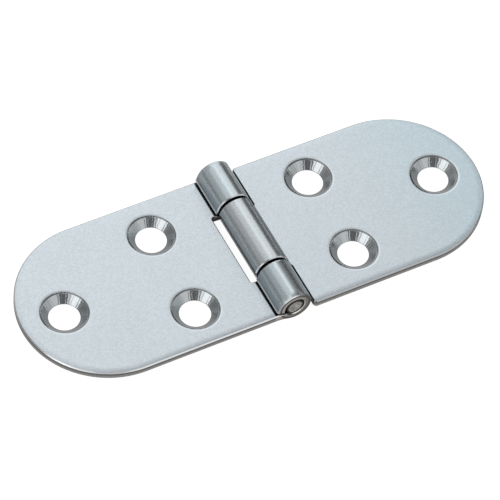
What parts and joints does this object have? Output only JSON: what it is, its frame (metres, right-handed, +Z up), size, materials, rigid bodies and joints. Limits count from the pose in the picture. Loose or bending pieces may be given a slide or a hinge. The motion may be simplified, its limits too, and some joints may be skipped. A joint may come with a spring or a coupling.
{
  "type": "table hinge",
  "caption": "Flat round-ended table hinge: two sheet-steel leaves with countersunk screw holes, rolled into knuckles around a plain pin, so that one leaf swings from flat to closed.",
  "frame": {"origin": "under the middle of the pin, level with the lowest line of the barrel, which is the middle of the box's bottom face", "axes": "+X along the opened hinge, towards the leaf with the centre knuckle; +Y along the pin; +Z up, out of the face that carries the countersinks"},
  "size_m": [0.1, 0.036, 0.0071],
  "materials": {
    "leaf_steel": "bright satin",
    "pin_steel": "plain cut end, slightly warm grey"
  },
  "bodies": {
    "fixed_leaf": {"two_knuckle_leaf": "leaf_steel", "hinge_pin": "pin_steel"},
    "swinging_leaf": {"one_knuckle_leaf": "leaf_steel"}
  },
  "joints": [
    {"name": "leaf_swing", "type": "hinge", "parent": "fixed_leaf", "child": "swinging_leaf", "pos_m": [0, 0, 0.00356], "axis": [0, -1, 0], "range_deg": [-110, 180]}
  ]
}
